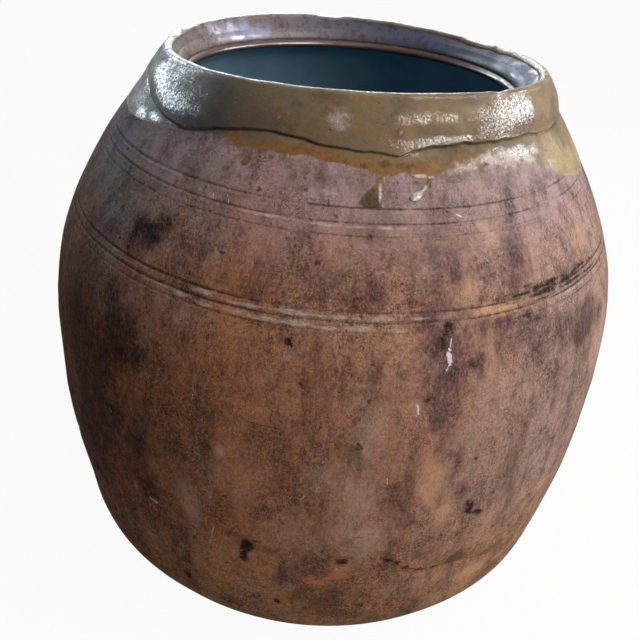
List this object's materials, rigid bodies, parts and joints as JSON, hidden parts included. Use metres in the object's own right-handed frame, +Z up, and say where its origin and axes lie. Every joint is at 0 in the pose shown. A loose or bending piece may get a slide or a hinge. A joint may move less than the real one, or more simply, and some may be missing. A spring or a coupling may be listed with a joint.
{
  "type": "olive jar",
  "caption": "Squat wide-mouthed stoneware storage jar with a folded, glazed collar, turned lines on the shoulder and a glazed inside; it stands on its flat base.",
  "frame": {"origin": "centre of the flat base, on the surface that the jar stands on", "axes": "+Z up along the jar's axis; -Y is the front, the side that the picture shows; +X is to the right seen from the front"},
  "size_m": [0.3999, 0.4, 0.355],
  "materials": {
    "clay": "matt fired brown clay, stained and worn",
    "collar_glaze": "glossy olive-brown glaze, pitted",
    "inside_glaze": "dark satin glaze"
  },
  "bodies": {
    "root": {"base_disc": "clay", "foot_section": "clay", "belly_section": "clay", "shoulder_section": "clay", "neck_ring": "clay", "collar_band": "clay", "collar_glaze": "collar_glaze", "glaze_runs": "collar_glaze", "interior_glaze": "inside_glaze"}
  },
  "joints": []
}
